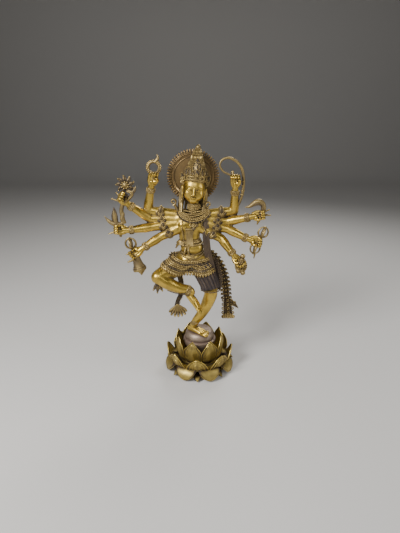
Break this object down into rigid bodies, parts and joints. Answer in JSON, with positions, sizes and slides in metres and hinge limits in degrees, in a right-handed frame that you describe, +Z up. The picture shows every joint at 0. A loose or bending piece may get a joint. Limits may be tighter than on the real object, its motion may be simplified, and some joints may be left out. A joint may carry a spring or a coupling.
{
  "type": "dancing deity statue",
  "caption": "Cast brass statue of a many-armed crowned dancer on one leg, with a round nimbus, standing on a lotus base.",
  "frame": {"origin": "centre of the flat underside of the lotus base", "axes": "+Z up, and the figure faces -Y"},
  "size_m": [0.3059, 0.1396, 0.4492],
  "materials": {
    "base_brass": "polished petals over a dull grey-brown seed pod, dark in the recesses",
    "figure_brass": "polished skin, brown patina in the carved ornament",
    "nimbus_brass": "dull brown patina with rubbed points"
  },
  "bodies": {
    "root": {"lotus_base": "base_brass", "figure": "figure_brass", "nimbus": "nimbus_brass"}
  },
  "joints": []
}
